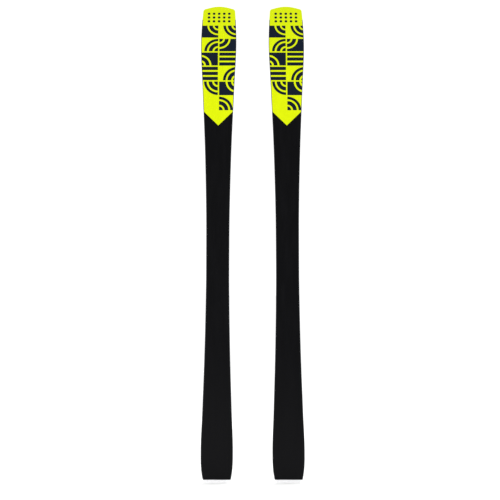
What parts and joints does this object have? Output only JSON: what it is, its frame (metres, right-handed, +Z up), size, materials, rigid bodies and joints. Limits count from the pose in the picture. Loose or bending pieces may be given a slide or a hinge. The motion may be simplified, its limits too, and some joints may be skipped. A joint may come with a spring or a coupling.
{
  "type": "alpine skis with bindings",
  "caption": "Pair of all-mountain alpine skis standing on their tails, layered bodies with steel edges, toe and heel bindings and ski brakes.",
  "frame": {"origin": "centre of the pair's footprint, on the plane of the tails' ends", "axes": "+Z up along the skis from tails to tips, +X across the pair, +Y out of the topsheets, so the bases face -Y"},
  "size_m": [0.3814, 0.0993, 1.7499],
  "materials": {
    "base_black": "stone-ground sintered polyethylene, black",
    "base_yellow": "stone-ground polyethylene, acid yellow, with dark printed blocks",
    "edge_steel": "ground steel edge",
    "glass_laminate": "glass fibre in resin",
    "core_wood": "laminated wood",
    "sidewall_abs": "black ABS, planed",
    "spacer_plastic": "plain moulded",
    "topsheet": "matt printed topsheet, fine texture",
    "tail_aluminium": "satin anodised",
    "binding_moulded": "glass-filled nylon, fine texture",
    "binding_shell": "semi-matt moulded shell",
    "binding_wing": "semi-matt moulded lever",
    "binding_lever": "semi-matt moulded, yellow",
    "spring_steel": "oiled spring wire",
    "screw_steel": "zinc-plated",
    "track_steel": "stamped, zinc-plated",
    "brake_steel": "plated wire with black moulded foot",
    "afd_plastic": "low-friction plastic, pale grey"
  },
  "bodies": {
    "left_ski": {"left_base_main": "base_black", "left_base_tip": "base_yellow", "left_edge_inner": "edge_steel", "left_edge_outer": "edge_steel", "left_lower_laminate": "glass_laminate", "left_core": "core_wood", "left_sidewall_inner": "sidewall_abs", "left_sidewall_outer": "sidewall_abs", "left_tip_spacer": "spacer_plastic", "left_upper_laminate": "glass_laminate", "left_topsheet": "topsheet", "left_tail_protector": "tail_aluminium", "left_toe_base_plate": "binding_moulded", "left_toe_housing": "binding_shell", "left_toe_spring": "spring_steel", "left_heel_track": "track_steel", "left_brake_plate": "binding_moulded"},
    "left_toe_wing_inner": {"left_toe_wing_inner": "binding_wing"},
    "left_toe_wing_outer": {"left_toe_wing_outer": "binding_wing"},
    "left_afd_slider": {"left_afd_slider": "afd_plastic"},
    "left_toe_din_screw": {"left_toe_din_screw": "screw_steel"},
    "left_heel_carriage": {"left_heel_carriage": "binding_moulded"},
    "left_forward_pressure_screw": {"left_forward_pressure_screw": "screw_steel"},
    "left_heel_lever": {"left_heel_lever": "binding_lever"},
    "left_heel_din_screw": {"left_heel_din_screw": "screw_steel"},
    "left_brake_pedal": {"left_brake_pedal": "binding_moulded"},
    "left_brake_arm_inner": {"left_brake_arm_inner": "brake_steel"},
    "left_brake_arm_outer": {"left_brake_arm_outer": "brake_steel"},
    "left_heel_body": {"left_heel_body": "binding_shell", "left_heel_spring": "spring_steel"},
    "right_ski": {"right_base_main": "base_black", "right_base_tip": "base_yellow", "right_edge_inner": "edge_steel", "right_edge_outer": "edge_steel", "right_lower_laminate": "glass_laminate", "right_core": "core_wood", "right_sidewall_inner": "sidewall_abs", "right_sidewall_outer": "sidewall_abs", "right_tip_spacer": "spacer_plastic", "right_upper_laminate": "glass_laminate", "right_topsheet": "topsheet", "right_tail_protector": "tail_aluminium", "right_toe_base_plate": "binding_moulded", "right_toe_housing": "binding_shell", "right_toe_spring": "spring_steel", "right_heel_track": "track_steel", "right_brake_plate": "binding_moulded"},
    "right_toe_wing_inner": {"right_toe_wing_inner": "binding_wing"},
    "right_toe_wing_outer": {"right_toe_wing_outer": "binding_wing"},
    "right_afd_slider": {"right_afd_slider": "afd_plastic"},
    "right_toe_din_screw": {"right_toe_din_screw": "screw_steel"},
    "right_heel_carriage": {"right_heel_carriage": "binding_moulded"},
    "right_forward_pressure_screw": {"right_forward_pressure_screw": "screw_steel"},
    "right_heel_lever": {"right_heel_lever": "binding_lever"},
    "right_heel_din_screw": {"right_heel_din_screw": "screw_steel"},
    "right_brake_pedal": {"right_brake_pedal": "binding_moulded"},
    "right_brake_arm_inner": {"right_brake_arm_inner": "brake_steel"},
    "right_brake_arm_outer": {"right_brake_arm_outer": "brake_steel"},
    "right_heel_body": {"right_heel_body": "binding_shell", "right_heel_spring": "spring_steel"}
  },
  "joints": [
    {"name": "pair_gap", "type": "slide", "parent": "left_ski", "child": "right_ski", "axis": [1, 0, 0], "range_m": [-0.1, 0.15]},
    {"name": "left_toe_wing_inner_swing", "type": "hinge", "parent": "left_ski", "child": "left_toe_wing_inner", "pos_m": [-0.1043, 0.0039, 0.984], "axis": [0, -1, 0], "range_deg": [0, 28], "stiffness_Nm_per_rad": 2},
    {"name": "left_toe_wing_outer_swing", "type": "hinge", "parent": "left_ski", "child": "left_toe_wing_outer", "pos_m": [-0.1463, 0.0039, 0.984], "axis": [0, 1, 0], "range_deg": [0, 28], "stiffness_Nm_per_rad": 2, "deforming": ["left_toe_spring"]},
    {"name": "left_afd_slide", "type": "slide", "parent": "left_ski", "child": "left_afd_slider", "axis": [1, 0, 0], "range_m": [-0.0065, 0.0065], "stiffness_N_per_m": 200},
    {"name": "left_toe_din_turn", "type": "hinge", "parent": "left_ski", "child": "left_toe_din_screw", "pos_m": [-0.1253, -0.0041, 1.03], "axis": [0, 0, 1], "range_deg": [-720, 720]},
    {"name": "left_heel_slide", "type": "slide", "parent": "left_ski", "child": "left_heel_carriage", "axis": [0, 0, 1], "range_m": [-0.01, 0.012]},
    {"name": "left_pressure_screw_turn", "type": "hinge", "parent": "left_heel_carriage", "child": "left_forward_pressure_screw", "pos_m": [-0.1253, -0.0209, 0.56], "axis": [0, 0, 1], "range_deg": [-2880, 2880]},
    {"name": "left_heel_open", "type": "hinge", "parent": "left_heel_carriage", "child": "left_heel_body", "pos_m": [-0.1253, -0.0091, 0.578], "axis": [-1, 0, 0], "range_deg": [0, 45]},
    {"name": "left_heel_lever_tip", "type": "hinge", "parent": "left_heel_body", "child": "left_heel_lever", "pos_m": [-0.1253, 0.0354, 0.594], "axis": [-1, 0, 0], "range_deg": [0, 20]},
    {"name": "left_heel_din_turn", "type": "hinge", "parent": "left_heel_body", "child": "left_heel_din_screw", "pos_m": [-0.1253, 0.0134, 0.566], "axis": [0, 0, 1], "range_deg": [-720, 720]},
    {"name": "left_brake_pedal_lift", "type": "hinge", "parent": "left_ski", "child": "left_brake_pedal", "pos_m": [-0.1253, -0.0181, 0.654], "axis": [-1, 0, 0], "range_deg": [0, 48]},
    {"name": "left_brake_inner_swing", "type": "hinge", "parent": "left_ski", "child": "left_brake_arm_inner", "pos_m": [-0.0893, -0.0141, 0.654], "axis": [-0.8993, -0.3405, -0.2744], "range_deg": [0, 72]},
    {"name": "left_brake_outer_swing", "type": "hinge", "parent": "left_ski", "child": "left_brake_arm_outer", "pos_m": [-0.1613, -0.0141, 0.654], "axis": [-0.8993, 0.3405, 0.2744], "range_deg": [0, 72]},
    {"name": "right_toe_wing_outer_swing", "type": "hinge", "parent": "right_ski", "child": "right_toe_wing_outer", "pos_m": [0.1463, 0.0039, 0.984], "axis": [0, -1, 0], "range_deg": [0, 28], "stiffness_Nm_per_rad": 2, "deforming": ["right_toe_spring"]},
    {"name": "right_toe_wing_inner_swing", "type": "hinge", "parent": "right_ski", "child": "right_toe_wing_inner", "pos_m": [0.1043, 0.0039, 0.984], "axis": [0, 1, 0], "range_deg": [0, 28], "stiffness_Nm_per_rad": 2},
    {"name": "right_afd_slide", "type": "slide", "parent": "right_ski", "child": "right_afd_slider", "axis": [1, 0, 0], "range_m": [-0.0065, 0.0065], "stiffness_N_per_m": 200},
    {"name": "right_toe_din_turn", "type": "hinge", "parent": "right_ski", "child": "right_toe_din_screw", "pos_m": [0.1253, -0.0041, 1.03], "axis": [0, 0, 1], "range_deg": [-720, 720]},
    {"name": "right_heel_slide", "type": "slide", "parent": "right_ski", "child": "right_heel_carriage", "axis": [0, 0, 1], "range_m": [-0.01, 0.012]},
    {"name": "right_pressure_screw_turn", "type": "hinge", "parent": "right_heel_carriage", "child": "right_forward_pressure_screw", "pos_m": [0.1253, -0.0209, 0.56], "axis": [0, 0, 1], "range_deg": [-2880, 2880]},
    {"name": "right_heel_open", "type": "hinge", "parent": "right_heel_carriage", "child": "right_heel_body", "pos_m": [0.1253, -0.0091, 0.578], "axis": [-1, 0, 0], "range_deg": [0, 45]},
    {"name": "right_heel_lever_tip", "type": "hinge", "parent": "right_heel_body", "child": "right_heel_lever", "pos_m": [0.1253, 0.0354, 0.594], "axis": [-1, 0, 0], "range_deg": [0, 20]},
    {"name": "right_heel_din_turn", "type": "hinge", "parent": "right_heel_body", "child": "right_heel_din_screw", "pos_m": [0.1253, 0.0134, 0.566], "axis": [0, 0, 1], "range_deg": [-720, 720]},
    {"name": "right_brake_pedal_lift", "type": "hinge", "parent": "right_ski", "child": "right_brake_pedal", "pos_m": [0.1253, -0.0181, 0.654], "axis": [-1, 0, 0], "range_deg": [0, 48]},
    {"name": "right_brake_outer_swing", "type": "hinge", "parent": "right_ski", "child": "right_brake_arm_outer", "pos_m": [0.1613, -0.0141, 0.654], "axis": [-0.8993, -0.3405, -0.2744], "range_deg": [0, 72]},
    {"name": "right_brake_inner_swing", "type": "hinge", "parent": "right_ski", "child": "right_brake_arm_inner", "pos_m": [0.0893, -0.0141, 0.654], "axis": [-0.8993, 0.3405, 0.2744], "range_deg": [0, 72]}
  ],
  "couplings": [
    {"joint": "left_brake_inner_swing", "follows": "left_brake_pedal_lift", "ratio": 1.5},
    {"joint": "left_brake_outer_swing", "follows": "left_brake_pedal_lift", "ratio": 1.5},
    {"joint": "left_heel_lever_tip", "follows": "left_heel_open", "ratio": 0.44444},
    {"joint": "left_pressure_screw_turn", "follows": "left_heel_slide", "rad_per_m": 4188.8},
    {"joint": "right_brake_outer_swing", "follows": "right_brake_pedal_lift", "ratio": 1.5},
    {"joint": "right_brake_inner_swing", "follows": "right_brake_pedal_lift", "ratio": 1.5},
    {"joint": "right_heel_lever_tip", "follows": "right_heel_open", "ratio": 0.44444},
    {"joint": "right_pressure_screw_turn", "follows": "right_heel_slide", "rad_per_m": 4188.8}
  ]
}
